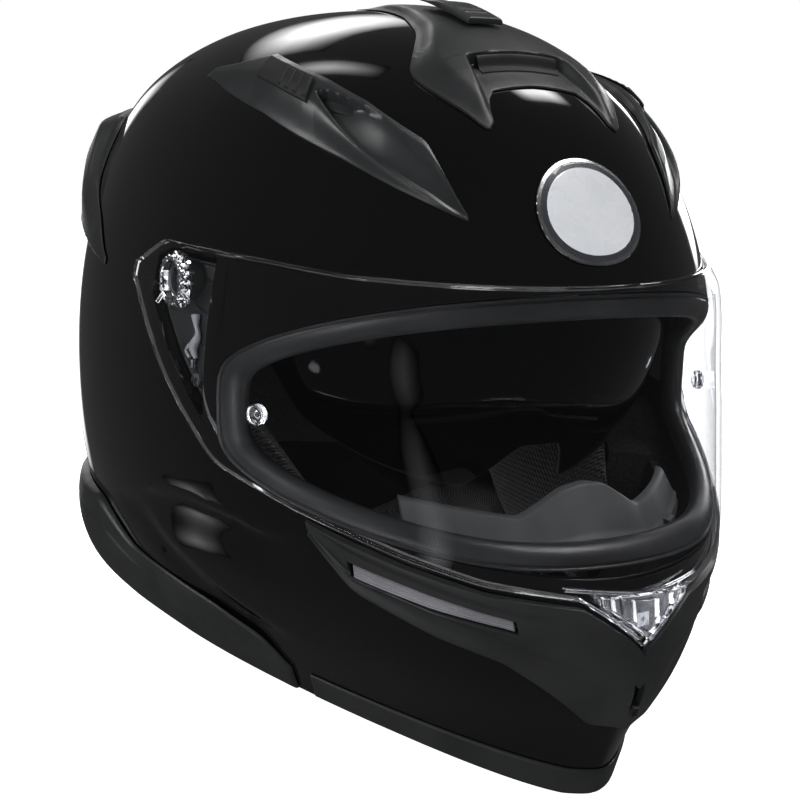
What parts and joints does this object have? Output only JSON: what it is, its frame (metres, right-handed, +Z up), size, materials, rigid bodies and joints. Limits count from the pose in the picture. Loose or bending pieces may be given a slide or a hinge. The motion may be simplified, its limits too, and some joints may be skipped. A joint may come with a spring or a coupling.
{
  "type": "motorcycle helmet",
  "caption": "Full-face motorcycle helmet with a hinged clear visor, a drop-down sun visor, sliding vents, foam lining and a chin strap with D-rings.",
  "frame": {"origin": "centre of the helmet in plan, on the plane that its chin and neck roll stand on", "axes": "-Y faces forwards, +X is the wearer's left, +Z is up"},
  "size_m": [0.259, 0.3668, 0.2991],
  "materials": {
    "shell_gloss": "high gloss lacquer",
    "trim_matte": "matte moulded",
    "guard_grey": "matte moulded",
    "louver_grey": "semi-gloss moulded",
    "rubber_black": "satin rubber",
    "foam_grey": "expanded foam",
    "fabric_black": "knitted mesh",
    "clear_visor": "clear polycarbonate",
    "clear_detail": "clear moulded polycarbonate",
    "smoke_lens": "smoke tinted",
    "steel": "bright steel",
    "lever_grey": "satin moulded",
    "webbing": "woven webbing",
    "badge_face": "gloss enamel"
  },
  "bodies": {
    "helmet": {"outer_shell": "shell_gloss", "eps_liner": "foam_grey", "chin_foam": "foam_grey", "cheek_foam_left": "foam_grey", "cheek_foam_right": "foam_grey", "crown_pad": "fabric_black", "cheek_pad_left": "fabric_black", "cheek_pad_right": "fabric_black", "neck_roll": "fabric_black", "chin_curtain": "fabric_black", "eyeport_gasket": "rubber_black", "breath_guard": "guard_grey", "chin_mask": "trim_matte", "louver_left": "louver_grey", "louver_right": "louver_grey", "chin_vent_filter": "foam_grey", "front_rim": "trim_matte", "rear_trim": "trim_matte", "rear_spoiler": "trim_matte", "crown_vent_body": "trim_matte", "brow_vent_left": "trim_matte", "brow_vent_right": "trim_matte", "badge": "badge_face", "latch_striker": "steel", "base_plate_left": "trim_matte", "base_plate_right": "trim_matte", "plate_screws": "steel", "lever_springs": "steel", "sun_pivots": "steel", "sun_cable": "rubber_black", "strap_plates": "steel", "strap_rivets": "steel", "strap_short": "webbing", "strap_long": "webbing", "strap_end_stud": "steel", "pad_studs": "steel"},
    "visor": {"visor": "clear_visor", "visor_ring_left": "clear_detail", "visor_ring_right": "clear_detail", "pinlock_pins": "clear_detail"},
    "visor_latch": {"visor_latch": "clear_detail"},
    "sun_visor": {"sun_visor": "smoke_lens"},
    "sun_lever": {"sun_lever": "trim_matte"},
    "crown_slider": {"crown_vent_slider": "trim_matte"},
    "brow_slider_left": {"brow_slider_left": "trim_matte"},
    "brow_slider_right": {"brow_slider_right": "trim_matte"},
    "chin_button": {"chin_vent_button": "trim_matte"},
    "release_lever_left": {"release_lever_left": "lever_grey"},
    "release_lever_right": {"release_lever_right": "lever_grey"},
    "d_ring_inner": {"d_ring_inner": "steel"},
    "d_ring_outer": {"d_ring_outer": "steel"}
  },
  "joints": [
    {"name": "visor_hinge", "type": "hinge", "parent": "helmet", "child": "visor", "pos_m": [0, -0.0285, 0.184], "axis": [-1, 0, 0], "range_deg": [0, 50]},
    {"name": "visor_latch_hinge", "type": "hinge", "parent": "visor", "child": "visor_latch", "pos_m": [0, -0.17961, 0.08704], "axis": [-1, 0, 0], "range_deg": [0, 12], "stiffness_Nm_per_rad": 0.05},
    {"name": "sun_visor_hinge", "type": "hinge", "parent": "helmet", "child": "sun_visor", "pos_m": [0, -0.0205, 0.18], "axis": [-1, 0, 0], "range_deg": [0, 40]},
    {"name": "sun_lever_slide", "type": "slide", "parent": "helmet", "child": "sun_lever", "axis": [0.3236, 0.9431, 0.0769], "range_m": [0, 0.018]},
    {"name": "crown_vent_slide", "type": "slide", "parent": "helmet", "child": "crown_slider", "axis": [0, 0.9704, 0.2415], "range_m": [0, 0.007]},
    {"name": "brow_vent_slide_left", "type": "slide", "parent": "helmet", "child": "brow_slider_left", "axis": [0.0621, 0.9661, 0.2506], "range_m": [0, 0.006]},
    {"name": "brow_vent_slide_right", "type": "slide", "parent": "helmet", "child": "brow_slider_right", "axis": [-0.0621, 0.9661, 0.2506], "range_m": [0, 0.006]},
    {"name": "chin_vent_slide", "type": "slide", "parent": "helmet", "child": "chin_button", "axis": [0, -0.4097, 0.9122], "range_m": [0, 0.0024]},
    {"name": "release_slide_left", "type": "slide", "parent": "helmet", "child": "release_lever_left", "axis": [0.0905, -0.0197, -0.9957], "range_m": [0, 0.0025], "stiffness_N_per_m": 300},
    {"name": "release_slide_right", "type": "slide", "parent": "helmet", "child": "release_lever_right", "axis": [-0.0905, -0.0197, -0.9957], "range_m": [0, 0.0025], "stiffness_N_per_m": 300},
    {"name": "d_ring_inner_hinge", "type": "hinge", "parent": "helmet", "child": "d_ring_inner", "pos_m": [0.06222, -0.01348, 0.042], "axis": [0, 1, 0], "range_deg": [-3, 60]},
    {"name": "d_ring_outer_hinge", "type": "hinge", "parent": "helmet", "child": "d_ring_outer", "pos_m": [0.06822, -0.01348, 0.042], "axis": [0, -1, 0], "range_deg": [-3, 60]}
  ],
  "couplings": [
    {"joint": "sun_lever_slide", "follows": "sun_visor_hinge", "m_per_rad": 0.025773}
  ]
}
